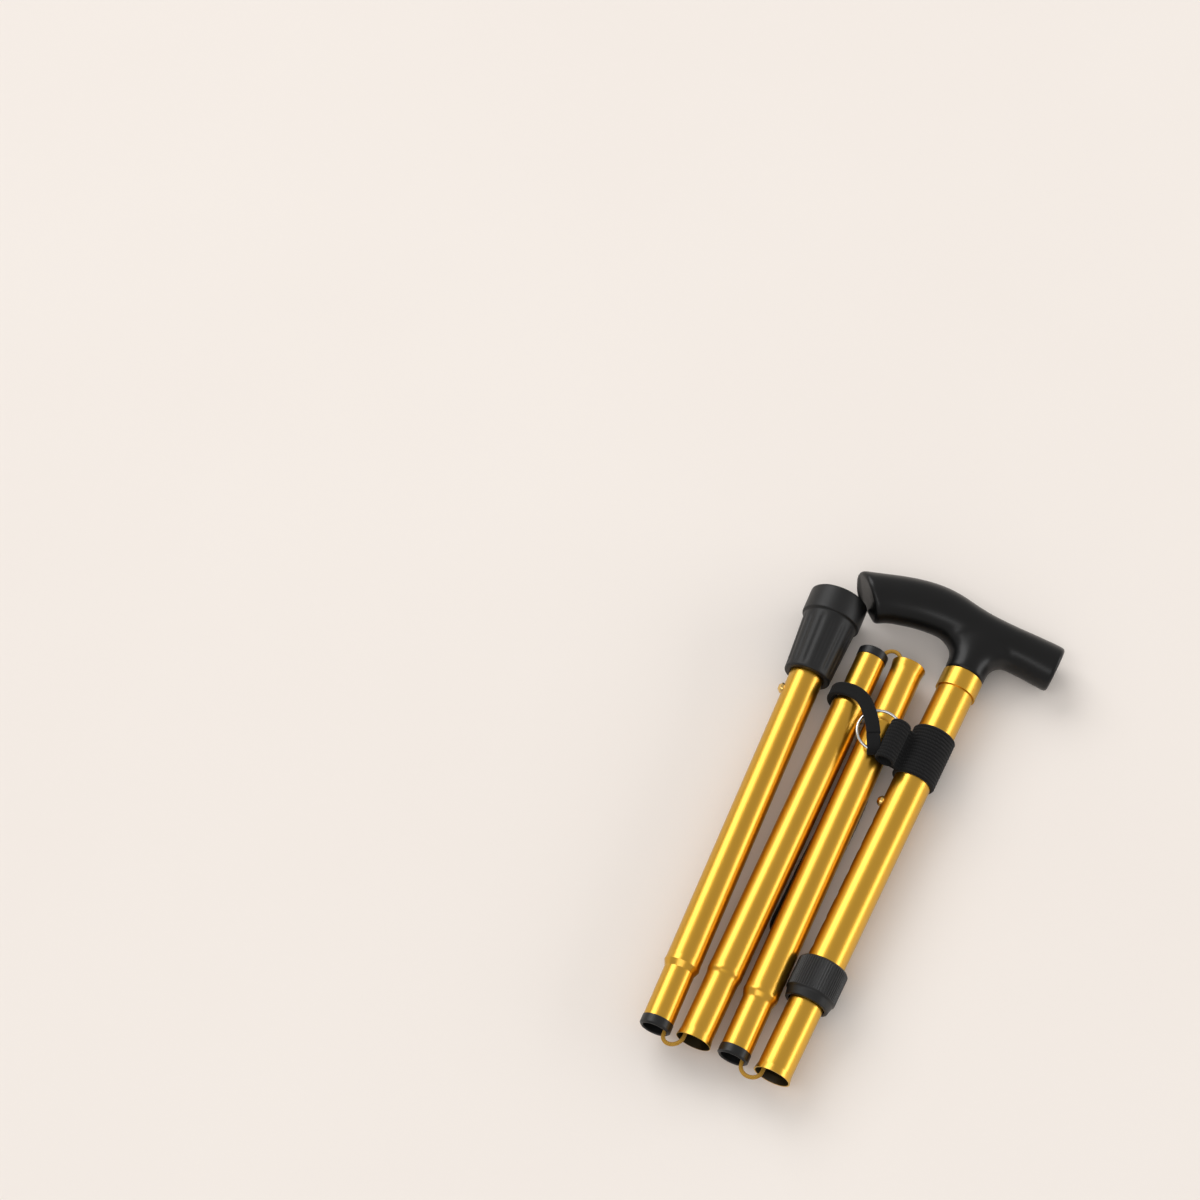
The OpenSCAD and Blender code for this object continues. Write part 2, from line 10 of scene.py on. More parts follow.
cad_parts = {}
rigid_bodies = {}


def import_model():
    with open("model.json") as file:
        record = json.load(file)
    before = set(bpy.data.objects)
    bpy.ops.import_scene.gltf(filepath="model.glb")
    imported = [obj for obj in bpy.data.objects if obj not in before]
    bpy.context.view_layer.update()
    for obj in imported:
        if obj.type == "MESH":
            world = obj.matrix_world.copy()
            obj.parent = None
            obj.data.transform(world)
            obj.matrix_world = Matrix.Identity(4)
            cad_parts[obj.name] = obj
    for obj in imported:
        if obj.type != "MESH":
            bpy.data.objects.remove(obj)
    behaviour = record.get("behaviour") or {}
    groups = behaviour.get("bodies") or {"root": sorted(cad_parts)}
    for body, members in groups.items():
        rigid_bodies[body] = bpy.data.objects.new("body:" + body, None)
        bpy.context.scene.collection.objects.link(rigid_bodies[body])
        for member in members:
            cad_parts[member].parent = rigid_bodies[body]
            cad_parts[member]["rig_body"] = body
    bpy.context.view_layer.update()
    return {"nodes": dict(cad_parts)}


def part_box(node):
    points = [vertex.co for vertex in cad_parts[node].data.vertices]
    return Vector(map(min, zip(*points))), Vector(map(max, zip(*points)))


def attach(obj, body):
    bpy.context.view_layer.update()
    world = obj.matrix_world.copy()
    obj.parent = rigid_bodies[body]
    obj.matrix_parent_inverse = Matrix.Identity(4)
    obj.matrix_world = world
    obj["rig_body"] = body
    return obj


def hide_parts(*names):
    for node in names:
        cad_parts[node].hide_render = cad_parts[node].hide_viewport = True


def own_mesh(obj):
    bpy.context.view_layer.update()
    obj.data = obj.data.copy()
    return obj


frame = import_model()
nodes = frame["nodes"]
scene = bpy.context.scene
MM = 0.001

# Section A's axis and mouth and the steel ring's middle, from which the CAD source measures the routes
tube_low, tube_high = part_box("outer_tube")
A_X = (tube_low.x + tube_high.x) / 2
A_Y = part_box("inner_tube")[0].y
AXIS_Z = (tube_low.z + tube_high.z) / 2
TUBE_R = tube_high.x - A_X
ring_low, ring_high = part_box("strap_ring")
RING_Y = (ring_low.y + ring_high.y) / 2
RING_Z = (ring_low.z + ring_high.z) / 2


def from_a(points):
    """Places in the model of points in millimetres from A's axis and mouth, z from the floor."""
    return [Vector((A_X + x * MM, A_Y + y * MM, z * MM)) for x, y, z in points]


def from_ring(points):
    """Places in the model of points in millimetres from A's axis and the ring's middle, z from the floor."""
    return [Vector((A_X + x * MM, RING_Y + y * MM, z * MM)) for x, y, z in points]


# Camera, fitted to the photograph: angles in degrees, lens and sensor in millimetres, clipping in metres
CAM_AZIMUTH, CAM_ELEVATION = 26.15, 63.14
CAM_LENS, CAM_SENSOR = 85.0, 36.0
CAM_CLIP = (0.05, 20.0)
CAM_PLACE = from_a([(120.4, -455.8, 1500.4)])[0]


def make_camera():
    """Camera at the photograph's viewing angle."""
    a, e = math.radians(CAM_AZIMUTH), math.radians(CAM_ELEVATION)
    back = Vector((math.sin(a) * math.cos(e), -math.cos(a) * math.cos(e), math.sin(e)))
    data = bpy.data.cameras.new("camera")
    data.lens = CAM_LENS
    data.sensor_width = CAM_SENSOR
    data.clip_start, data.clip_end = CAM_CLIP
    cam = bpy.data.objects.new("camera", data)
    cam.location = CAM_PLACE
    cam.rotation_mode = "QUATERNION"
    cam.rotation_quaternion = (-back).to_track_quat("-Z", "Y")
    scene.collection.objects.link(cam)
    scene.camera = cam


make_camera()


# Materials: a surface's roughness lies between low and high

class Nodes:
    """Small helper that adds and links nodes in one material."""

    def __init__(self, name):
        self.material = bpy.data.materials.new(name)
        self.material.use_nodes = True
        self.tree = self.material.node_tree
        self.shader = self.tree.nodes["Principled BSDF"]

    def add(self, kind, **values):
        node = self.tree.nodes.new(kind)
        for key, value in values.items():
            if key in node.inputs:
                node.inputs[key].default_value = value
            else:
                setattr(node, key, value)
        return node

    def link(self, a, b):
        self.tree.links.new(a, b)

    def set(self, **values):
        for key, value in values.items():
            self.shader.inputs[key.replace("_", " ")].default_value = value

    def coords(self, scale):
        """Object coordinates, stretched by a scale along each axis."""
        where = self.add("ShaderNodeTexCoord")
        mapping = self.add("ShaderNodeMapping")
        mapping.inputs["Scale"].default_value = scale
        self.link(where.outputs["Object"], mapping.inputs["Vector"])
        return mapping.outputs["Vector"]

    def noise(self, scale, detail=3.0, rough=0.55, stretch=(1, 1, 1)):
        node = self.add("ShaderNodeTexNoise", Scale=scale, Detail=detail, Roughness=rough)
        self.link(self.coords(stretch), node.inputs["Vector"])
        return node.outputs["Fac"]

    def ramp(self, factor, stops):
        node = self.add("ShaderNodeValToRGB")
        while len(node.color_ramp.elements) < len(stops):
            node.color_ramp.elements.new(0.5)
        for element, (place, colour) in zip(node.color_ramp.elements, stops):
            element.position = place
            element.color = (*colour, 1)
        self.link(factor, node.inputs["Fac"])
        return node.outputs["Color"]

    def span(self, factor, low, high):
        node = self.add("ShaderNodeMapRange")
        node.inputs["To Min"].default_value = low
        node.inputs["To Max"].default_value = high
        self.link(factor, node.inputs["Value"])
        return node.outputs["Result"]

    def bump(self, height, distance, strength=1.0, before=None):
        node = self.add("ShaderNodeBump", Distance=distance, Strength=strength)
        self.link(height, node.inputs["Height"])
        if before is not None:
            self.link(before, node.inputs["Normal"])
        return node.outputs["Normal"]

    def out(self, colour=None, rough=None, normal=None):
        if colour is not None:
            self.link(colour, self.shader.inputs["Base Color"])
        if rough is not None:
            self.link(rough, self.shader.inputs["Roughness"])
        if normal is not None:
            self.link(normal, self.shader.inputs["Normal"])
        return self.material


def gold_anodised(name, dark, light, low, high):
    """Drawn aluminium tube with an anodised skin: faint cloudy patches and lines along the tube."""
    m = Nodes(name)
    m.set(Metallic=1.0, Coat_Weight=0.8, Coat_Roughness=0.22, Specular_Tint=(0.8, 0.76, 0.3, 1))
    cloud = m.noise(18.0, stretch=(1, 0.25, 1))
    lines = m.noise(420.0, detail=2.0, stretch=(1, 0.006, 1))
    colour = m.ramp(cloud, [(0.3, dark), (0.7, light)])
    return m.out(colour, m.span(lines, low, high))


def satin_black(name, level, low, high, grain, shine):
    """Moulded black plastic: a fine grain and slightly worn, cloudy gloss."""
    m = Nodes(name)
    m.set(Specular_IOR_Level=shine)
    cloud = m.noise(35.0, detail=4.0)
    fine = m.noise(grain, detail=2.0)
    dark = (level * 0.8,) * 3
    light = (level * 1.15, level * 1.15, level * 1.2)
    colour = m.ramp(cloud, [(0.25, dark), (0.75, light)])
    return m.out(colour, m.span(cloud, low, high), m.bump(fine, 0.00006, 0.5))


def woven(name, dark, light, pitch, depth):
    """Woven textile: two crossed sets of fine threads with a soft sheen."""
    m = Nodes(name)
    m.set(Sheen_Weight=0.06, Sheen_Roughness=0.5, Specular_IOR_Level=0.25)
    across = m.add("ShaderNodeTexWave", Scale=pitch, Distortion=0.6, bands_direction="Y")
    along = m.add("ShaderNodeTexWave", Scale=pitch * 0.8, Distortion=0.6, bands_direction="DIAGONAL")
    vector = m.coords((1, 1, 1))
    m.link(vector, across.inputs["Vector"])
    m.link(vector, along.inputs["Vector"])
    threads = m.add("ShaderNodeMath", operation="MULTIPLY")
    m.link(across.outputs["Fac"], threads.inputs[0])
    m.link(along.outputs["Fac"], threads.inputs[1])
    fuzz = m.noise(2500.0)
    colour = m.ramp(threads.outputs[0], [(0.0, dark), (1.0, light)])
    normal = m.bump(fuzz, depth * 0.4, 0.4, m.bump(threads.outputs[0], depth, 0.7))
    return m.out(colour, m.span(fuzz, 0.7, 0.95), normal)


def bare_metal(name, dark, light, low, high, lines):
    """Bare metal with fine scratches."""
    m = Nodes(name)
    m.set(Metallic=1.0)
    scratch = m.noise(lines, detail=3.0, stretch=(1, 0.15, 1))
    cloud = m.noise(60.0)
    colour = m.ramp(cloud, [(0.3, dark), (0.7, light)])
    return m.out(colour, m.span(scratch, low, high), m.bump(scratch, 0.00002, 0.3))


GOLD = gold_anodised("gold_anodised", (0.66, 0.345, 0.018), (0.73, 0.395, 0.027), 0.26, 0.36)
# Near-black colour for the tubes' inner faces: painted shade inside the bores
BORE_SHADE = gold_anodised("tube_bore_painted_shade", (0.03, 0.022, 0.01), (0.045, 0.032, 0.014), 0.5, 0.65)
HANDLE = satin_black("handle_plastic", 0.003, 0.26, 0.36, 1400.0, 0.3)
PLASTIC = satin_black("black_plastic", 0.006, 0.34, 0.44, 2200.0, 0.4)
RUBBER = satin_black("black_rubber", 0.007, 0.42, 0.52, 1200.0, 0.36)
ELASTIC = woven("black_elastic", (0.002, 0.002, 0.0022), (0.009, 0.009, 0.0095), 420.0, 0.00012)
TAPE = woven("black_tape", (0.002, 0.002, 0.0022), (0.007, 0.007, 0.0075), 700.0, 0.00008)
SHOCK = woven("shock_cord", (0.36, 0.18, 0.02), (0.74, 0.44, 0.07), 700.0, 0.00012)
STEEL = bare_metal("bright_steel", (0.66, 0.66, 0.65), (0.8, 0.8, 0.79), 0.1, 0.2, 700.0)
ALUMINIUM = bare_metal("crimp_aluminium", (0.62, 0.62, 0.62), (0.78, 0.78, 0.77), 0.25, 0.38, 900.0)
BRASS = bare_metal("brass", (0.7, 0.45, 0.14), (0.84, 0.58, 0.2), 0.16, 0.26, 700.0)

MATERIAL_OF = {
    GOLD: ["collar_ring", "outer_tube", "inner_tube", "tube_b", "tube_c", "tube_d"],
    HANDLE: ["handle_grip"],
    PLASTIC: ["collar_bush", "lock_collar", "cord_anchor", "plug_b", "plug_c", "plug_d", "end_anchor"],
    RUBBER: ["ferrule"],
    ELASTIC: ["strap_band", "ring_tab"],
    TAPE: ["strap_eye", "strap_loop"],
    STEEL: ["clamp_ring", "strap_ring", "snap_spring", "tip_spring", "ferrule_washer"],
    ALUMINIUM: ["cord_crimp", "foot_tube"],
    BRASS: ["snap_button", "tip_button"],
    SHOCK: ["cord_knot", "shock_cord_a", "shock_cord_b", "shock_cord_c", "shock_cord_d", "cord_bend_1",
            "cord_bend_2", "cord_bend_3", "cord_tail", "end_knot"],
}
for material, names in MATERIAL_OF.items():
    for name in names:
        data = nodes[name].data
        data.materials.clear()
        data.materials.append(material)


def end_middles(points, depth):
    """Middles of the lowest and highest points in y, within a depth of the ends."""
    low = min(p.y for p in points)
    high = max(p.y for p in points)
    first = [p for p in points if p.y < low + depth]
    last = [p for p in points if p.y > high - depth]
    return sum(first, Vector()) / len(first), sum(last, Vector()) / len(last)


def paint_bore_shade(data):
    """Give the faces of a tube that look at its axis a near-black colour: painted shade inside the bore."""
    data.materials.append(BORE_SHADE)
    first, last = end_middles([v.co for v in data.vertices], depth=0.006)
    way = (last - first).normalized()
    for polygon in data.polygons:
        arm = polygon.center - first
        arm -= arm.dot(way) * way
        if arm.length > 0 and polygon.normal.dot(arm.normalized()) < -0.5:
            polygon.material_index = 1


# Painted shade: the inner faces of these tubes get a near-black colour
for name in ("outer_tube", "inner_tube", "tube_d"):
    paint_bore_shade(nodes[name].data)


# Shapes

def new_object(name, mesh, material, body, stands_for=()):
    """Links a mesh as a piece that rides on a body and stands for CAD nodes."""
    obj = bpy.data.objects.new(name, mesh)
    mesh.materials.append(material)
    for polygon in mesh.polygons:
        polygon.use_smooth = True
    scene.collection.objects.link(obj)
    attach(obj, body)
    if stands_for:
        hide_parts(*stands_for)
    return obj


def skin(name, rings, closed=False):
    """Mesh over a list of rings of points; both ends are closed unless the rings come back to the first."""
    n = len(rings[0])
    count = len(rings)
    faces = []
    for i in range(count if closed else count - 1):
        a, b = i * n, (i + 1) % count * n
        faces += [(a + j, a + (j + 1) % n, b + (j + 1) % n, b + j) for j in range(n)]
    if not closed:
        faces += [tuple(reversed(range(n))), tuple(range((count - 1) * n, count * n))]
    mesh = bpy.data.meshes.new(name)
    mesh.from_pydata([p for ring in rings for p in ring], [], faces)
    bm = bmesh.new()
    bm.from_mesh(mesh)
    bmesh.ops.recalc_face_normals(bm, faces=bm.faces)
    if bm.calc_volume(signed=True) < 0:
        bmesh.ops.reverse_faces(bm, faces=bm.faces)
    bm.to_mesh(mesh)
    bm.free()
    return mesh


def smooth_route(points, step):
    """Even points on a smooth curve through the given ones."""
    ends = [2 * points[0] - points[1], *points, 2 * points[-1] - points[-2]]
    pieces = 20
    fine = []
    for p0, p1, p2, p3 in zip(ends, ends[1:], ends[2:], ends[3:]):
        for i in range(pieces):
            t = i / pieces
            fine.append(0.5 * (2 * p1 + (p2 - p0) * t + (2 * p0 - 5 * p1 + 4 * p2 - p3) * t * t
                               + (3 * p1 - p0 - 3 * p2 + p3) * t ** 3))
    fine.append(points[-1].copy())
    even, left = [fine[0]], step
    for a, b in zip(fine, fine[1:]):
        gap = (b - a).length
        while left <= gap:
            even.append(a.lerp(b, left / gap))
            left += step
        left -= gap
    if (even[-1] - fine[-1]).length > step * 0.3:
        even.append(fine[-1])
    else:
        even[-1] = fine[-1]
    return even


def frames(route, across):
    """Side and top directions at each point of a route; the side lies along a given direction."""
    for i, p in enumerate(route):
        t = (route[min(i + 1, len(route) - 1)] - route[max(i - 1, 0)]).normalized()
        s = (across - across.dot(t) * t).normalized()
        yield p, s, s.cross(t)


def braided_tube(name, route, radius, across, strands=4, pitch=0.0045, depth=0.1, around=20):
    """Round cord along a route, with the ridges of its braid."""
    rings, gone, before = [], 0.0, route[0]
    for p, s, q in frames(route, across):
        gone += (p - before).length
        before = p
        ring = []
        for j in range(around):
            angle = math.tau * j / around
            turn = math.tau * gone / pitch
            ridge = max(abs(math.sin((strands * angle + way * turn) / 2)) for way in (1, -1))
            r = radius * (1 - depth + depth * ridge)
            ring.append(p + (s * math.cos(angle) + q * math.sin(angle)) * r)
        rings.append(ring)
    return skin(name, rings)


def flat_tape(name, route, width, thick, across, around=28):
    """Flat tape along a route, with a groove along both edges and thicker woven borders."""
    rings = []
    for p, s, q in frames(route, across):
        ring = []
        for j in range(around):
            angle = math.tau * j / around
            c, n = math.cos(angle), math.sin(angle)
            u = math.copysign(abs(c) ** 0.35, c)
            v = math.copysign(abs(n) ** 0.35, n)
            border = 1 + 0.12 * math.exp(-((abs(u) - 0.78) / 0.12) ** 2)
            seam = 1 - 0.06 * math.exp(-(v / 0.25) ** 2)
            ring.append(p + s * (width / 2 * u * seam) + q * (thick / 2 * v * border / 1.12))
        rings.append(ring)
    return skin(name, rings)


def ribbed_sleeve(name, centre, length, inner, outer, ribs, depth, around=96):
    """Sleeve of ribbed elastic round an axis along Y: rounded ribs side by side, rolled in at both ends."""
    profile = [(0.0, inner), (0.0, outer - 2.5 * depth)]
    samples = ribs * 8
    for i in range(samples + 1):
        share = i / samples
        rise = abs(math.sin(math.pi * share * ribs)) ** 0.6
        edge = min(1.0, min(share, 1 - share) * ribs / 0.5)
        profile.append((share * length, outer - depth * (1 - rise) - 0.8 * depth * (1 - edge)))
    profile += [(length, outer - 2.5 * depth), (length, inner)]
    rings = []
    for j in range(around):
        angle = math.tau * j / around
        wave = 1 + 0.004 * math.sin(3 * angle + 0.7) + 0.003 * math.sin(7 * angle)
        rings.append([centre + Vector((r * wave * math.cos(angle), y, r * wave * math.sin(angle)))
                      if r > inner else centre + Vector((r * math.cos(angle), y, r * math.sin(angle)))
                      for y, r in profile])
    return skin(name, rings, closed=True)


def joined(name, *meshes):
    """One mesh out of several."""
    bm = bmesh.new()
    for mesh in meshes:
        bm.from_mesh(mesh)
        bpy.data.meshes.remove(mesh)
    whole = bpy.data.meshes.new(name)
    bm.to_mesh(whole)
    bm.free()
    return whole


def ribbed_strip(name, path, low, high, thick, ribs, depth):
    """Strip of ribbed elastic along a path of (x, z) points; its ribs lie side by side in y."""
    samples = ribs * 6
    rings = []
    for i, (x, z) in enumerate(path):
        x0, z0 = path[max(i - 1, 0)]
        x1, z1 = path[min(i + 1, len(path) - 1)]
        t = Vector((x1 - x0, 0, z1 - z0)).normalized()
        n = Vector((t.z, 0, -t.x))
        ring = []
        for k in range(samples + 1):
            rise = abs(math.sin(math.pi * k * ribs / samples)) ** 0.6
            edge = min(1.0, min(k, samples - k) / 3)
            out = thick / 2 - depth * (1 - rise) - thick * 0.3 * (1 - edge)
            ring.append(Vector((x, low + (high - low) * k / samples, z)) + n * out)
        ring += [Vector((x, high - 0.0002, z)) - n * thick / 2, Vector((x, low + 0.0002, z)) - n * thick / 2]
        rings.append(ring)
    return skin(name, rings)


def soft_profile(points, radius):
    """Closed outline (r, y) with rounded corners, and rows beside them so that flat stretches shade flat."""
    result = []
    count = len(points)
    for i in range(count):
        p = Vector(points[i])
        before = Vector(points[i - 1]) - p
        after = Vector(points[(i + 1) % count]) - p
        cut = min(radius, before.length * 0.4, after.length * 0.4)
        a, b = p + before.normalized() * cut, p + after.normalized() * cut
        near = min(cut * 0.2, 0.0003)
        result.append(tuple(a + before.normalized() * near))
        result += [tuple(a.lerp(p, t).lerp(p.lerp(b, t), t)) for t in (0, 0.33, 0.67, 1)]
        result.append(tuple(b + after.normalized() * near))
    return result


def closer(profile, step):
    """Closed outline with points added on its long stretches."""
    result = []
    for a, b in zip(profile, profile[1:] + profile[:1]):
        a, b = Vector(a), Vector(b)
        count = max(1, round((b - a).length / step))
        result += [tuple(a.lerp(b, i / count)) for i in range(count)]
    return result


def metres(points):
    """Outline (r, y) in millimetres, put in metres."""
    return [(r * MM, y * MM) for r, y in points]


def turned(name, place, profile, around=96, wave=None):
    """Body of revolution about Y from a closed outline (r, y); wave changes r by angle and height."""
    rings = []
    for j in range(around):
        angle = math.tau * j / around
        ring = []
        for r, y in profile:
            grown = r + (wave(angle, r, y) if wave else 0.0)
            ring.append(place @ Vector((grown * math.cos(angle), y, grown * math.sin(angle))))
        rings.append(ring)
    return skin(name, rings, closed=True)


# Wrist strap: cords first, on the routes of the CAD source

EYE_ROUTE = from_ring([
    (-26, -13.9, 32.8), (-28.3, -8.5, 33), (-32.5, -0.5, 33.2), (-38.5, 8, 33), (-45, 14, 32),
    (-52, 16.5, 30), (-58, 17, 27), (-62.5, 17, 22.5), (-64.5, 17, 17), (-64.5, 17, 12), (-62.8, 17, 7),
    (-59.6, 17, 3.9), (-55.7, 17, 3)])
# Most of the loop lies on the floor, with its middle at this height
LOOP_Z = 2.2
LOOP_FLAT = [
    (-29.5, 6.4), (-30.2, -4.5), (-32, -17.5), (-34, -30.5), (-35.6, -43.5), (-36.7, -56.5), (-37.3, -69.5),
    (-37.4, -81.5), (-37.4, -93.5), (-37.4, -105.5), (-37.4, -113.5), (-37.4, -120), (-36.3, -124.2),
    (-33.2, -127.3), (-29, -128.4), (-24.8, -127.3), (-21.7, -124.2), (-20.6, -120), (-20.6, -113.5),
    (-20.6, -103.5), (-20.6, -91.5), (-20.6, -79.5), (-20.6, -67.5), (-20.6, -55.5), (-20.8, -43.5),
    (-21.4, -31.5), (-22.4, -19.5), (-23.6, -7.5), (-24.5, 0.5), (-24.6, 6.1)]
LOOP_ROUTE = from_ring([
    (-37.2, 14.9, 3), (-33.75, 13.8, 2.8), (-30.6, 10.7, 2.4), *[(x, y, LOOP_Z) for x, y in LOOP_FLAT],
    (-26.3, 12.6, 2.4), (-31.1, 17.4, 2.8), (-37.2, 19.1, 3)])
# The tape's single layer, which goes round the ring's wire
BIGHT_ROUTE = from_ring([
    (-31.2, -3.4, 33.5), (-29.2, -6.8, 33.6), (-27.6, -10.2, 33.4), (-26.5, -12.6, 32.6),
    (-25.7, -14.5, 30.5), (-26.5, -12.6, 28.5), (-27.7, -10, 28.9), (-29.2, -7, 30.8), (-31.2, -3.4, 32.5)])
# Length of the bight, from which on the tape is doubled, and the way of the ring's wire in it
BIGHT_L = 0.0105
WIRE_WAY = Vector((0.92, 0.392, 0))
TAPE_W, TAPE_H, LOOP_R = 0.008, 0.0026, 0.002
UP, ALONG = Vector((0, 0, 1)), Vector((0, 1, 0))

eye_path = smooth_route(EYE_ROUTE, 0.001)
bight_path = smooth_route(BIGHT_ROUTE, 0.0006)
doubled = [p for p in eye_path if (p - eye_path[0]).length > BIGHT_L]
eye = new_object(
    "strap_eye_tape",
    joined("strap_eye_tape", flat_tape("doubled", doubled, TAPE_W, TAPE_H, ALONG),
           flat_tape("bight", bight_path, TAPE_W * 0.94, TAPE_H * 0.45, WIRE_WAY)),
    TAPE, "handle_section", ["strap_eye"])
loop_path = smooth_route(LOOP_ROUTE, 0.0006)
loop = new_object("strap_loop_cord", braided_tube("strap_loop_cord", loop_path, LOOP_R, UP), TAPE,
                  "handle_section", ["strap_loop"])


# Handle: the CAD form on finer rings, its nose cut off at a slant, with broad hollows between stem and arm

# Millimetres: heel and nose from A's axis, the arm's half width, the rounding of its ends
HEEL, NOSE, WIDTH, END = 46.6, 68.8, 13.0, 2.0
# Turn of the arm about the tube in degrees
ARM_TURN = 5.5
# The nose's slant in millimetres: its start along the arm, its lower edge, the height it comes in over
CUT_FROM, CUT_LOW, CUT_RISE = 44.0, -7.0, 12.0
# How far the slant pushes the nose out, and how much more for each millimetre across it
CUT_OUT, CUT_ACROSS = 0.9, 0.17
# Millimetres: the stem's foot above A's mouth, its height and its radius
STEM_Y, RISE, STEM_R = 265.5, 30.5, 12.2
# The stem's flare in millimetres: height where it starts, its radius in height and in width
FLARE_FROM, FLARE_H, FLARE_W = 6.5, 12.5, 13.5
# The tube's socket in millimetres: its ends from the stem's foot, and the gap round the tube
SOCKET_LOW, SOCKET_HIGH, SOCKET_GAP = -3.0, 30.2, 0.1
# Points in each ring of the handle
SIDES = 56
# Millimetres along the arm from A's axis, height of its middle, half depth; lean in degrees
ARM = [(HEEL, 30.2, 14.0, 0), (40, 30.4, 14.0, 0), (28, 30.6, 13.5, 0), (14, 30.4, 13.3, 0),
       (0, 30.6, 13.4, 0), (-10, 31.4, 13.8, 0), (-20, 32.4, 14.6, 2), (-30, 32.4, 15.0, 5),
       (-40, 31.0, 15.0, 11), (-50, 28.3, 14.9, 19), (-60, 24.6, 14.8, 28), (-NOSE, 20.3, 15.8, 37)]


def arm_at(u):
    """Middle, half depth and lean of the arm at a place, on a smooth line through the table."""
    i = max(k for k in range(len(ARM) - 1) if ARM[k][0] >= u or k == 0)
    p0, p1, p2, p3 = ARM[max(i - 1, 0)], ARM[i], ARM[i + 1], ARM[min(i + 2, len(ARM) - 1)]
    gap = p2[0] - p1[0]
    t = (u - p1[0]) / gap
    values = []
    for c in (1, 2, 3):
        m1 = (p2[c] - p0[c]) / (p2[0] - p0[0]) * gap
        m2 = (p3[c] - p1[c]) / (p3[0] - p1[0]) * gap
        values.append((2 * t ** 3 - 3 * t ** 2 + 1) * p1[c] + (t ** 3 - 2 * t ** 2 + t) * m1
                      + (3 * t ** 2 - 2 * t ** 3) * p2[c] + (t ** 3 - t ** 2) * m2)
    return values


def arm_ring(u, inset):
    """Ring across the handle's arm at a distance from A's axis, heel positive."""
    middle, h, lean = arm_at(u)
    lean = math.radians(lean)
    w = WIDTH * (1 - 0.05 * abs(u) / NOSE)
    turn = math.radians(ARM_TURN)
    cut = max(0.0, (-CUT_FROM - u) / (NOSE - CUT_FROM)) ** 2
    ring = []
    for j in range(SIDES):
        angle = math.tau * j / SIDES
        p, q = (h - inset) * math.cos(angle), (w - inset) * math.sin(angle)
        above = min(max((p - CUT_LOW) / CUT_RISE, 0.0), 1.0)
        out = cut * (CUT_OUT + CUT_ACROSS * (WIDTH - q)) * above * above * (3 - 2 * above)
        x = u - p * math.sin(lean) - out
        ring.append((x * math.cos(turn) + q * math.sin(turn), STEM_Y + middle + p * math.cos(lean),
                     AXIS_Z / MM - x * math.sin(turn) + q * math.cos(turn)))
    return from_a(ring)


def stem_ring(v):
    """Ring across the handle's stem at a height above the gold ring, wider towards the arm."""
    d = min(max(v - FLARE_FROM, 0.0) / FLARE_H, 0.98)
    w = STEM_R + FLARE_W * (1 - math.sqrt(1 - d * d))
    h = STEM_R + 0.5 * v / RISE
    angles = [math.tau * j / SIDES for j in range(SIDES)]
    return from_a([(w * math.cos(a), STEM_Y + v, AXIS_Z / MM + h * math.sin(a)) for a in angles])


def end_rows(length):
    """Places along the arm from its heel, with how far each ring is drawn in at the rounded ends."""
    shares = (0, 0.04, 0.15, 0.3, 0.5, 0.75, 1)
    count = 60
    near = [(END * t, END - math.sqrt(END * END - (END - END * t) ** 2)) for t in shares]
    middle = [(END + (length - 2 * END) * i / count, 0.0) for i in range(1, count)]
    far = [(length - d, g) for d, g in near[::-1]]
    return near + middle + far


def applied(work):
    """Mesh of a work object with its modifiers applied; the object goes."""
    bpy.context.view_layer.update()
    mesh = bpy.data.meshes.new_from_object(work.evaluated_get(bpy.context.evaluated_depsgraph_get()))
    bpy.data.objects.remove(work)
    return mesh


def work_object(mesh):
    """Object that is there only while a mesh is made."""
    work = bpy.data.objects.new("work", mesh)
    scene.collection.objects.link(work)
    return work


def handle_mesh(voxel, heart, reach, extra, passes):
    """Arm and stem as one skin, smoothed most about the heart where they meet, with the socket cut out."""
    rows = 30
    arm = skin("arm", [arm_ring(HEEL - d, inset) for d, inset in end_rows(HEEL + NOSE)])
    stem = skin("stem", [stem_ring(RISE * i / rows) for i in range(rows + 1)])
    work = work_object(joined("handle", arm, stem))
    remesh = work.modifiers.new("remesh", "REMESH")
    remesh.mode, remesh.voxel_size = "VOXEL", voxel
    work = work_object(applied(work))
    group = work.vertex_groups.new(name="heart")
    for v in work.data.vertices:
        share = max(0.0, 1 - (v.co - heart).length / reach)
        if share > 0:
            group.add([v.index], share * share * (3 - 2 * share), "REPLACE")
    blend = work.modifiers.new("blend", "SMOOTH")
    blend.factor, blend.iterations, blend.vertex_group = 0.5, extra, "heart"
    soften = work.modifiers.new("soften", "SMOOTH")
    soften.factor, soften.iterations = 0.5, passes
    bore = TUBE_R / MM + SOCKET_GAP
    low, high = STEM_Y + SOCKET_LOW, STEM_Y + SOCKET_HIGH
    outline = metres([(0.01, low), (bore, low), (bore, high), (0.01, high)])
    plug = work_object(turned("plug", Matrix.Translation((A_X, A_Y, AXIS_Z)), outline, 192))
    cut = work.modifiers.new("cut", "BOOLEAN")
    cut.operation, cut.object = "DIFFERENCE", plug
    mesh = applied(work)
    bpy.data.objects.remove(plug)
    mesh.materials.clear()
    return mesh


HEART = from_a([(-2, 284, AXIS_Z / MM)])[0]
new_object("handle_moulding", handle_mesh(voxel=0.0008, heart=HEART, reach=0.042, extra=120, passes=6),
           HANDLE, "handle_section", ["handle_grip"])


# Elastic band and the tab that is rolled round the ring

band_low, band_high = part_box("strap_band")
new_object(
    "strap_band_elastic",
    ribbed_sleeve("strap_band_elastic", Vector((A_X, band_low.y, AXIS_Z)), band_high.y - band_low.y,
                  TUBE_R + 0.00005, (band_high.x - band_low.x) / 2, ribs=15, depth=0.00045),
    ELASTIC, "handle_section", ["strap_band"])

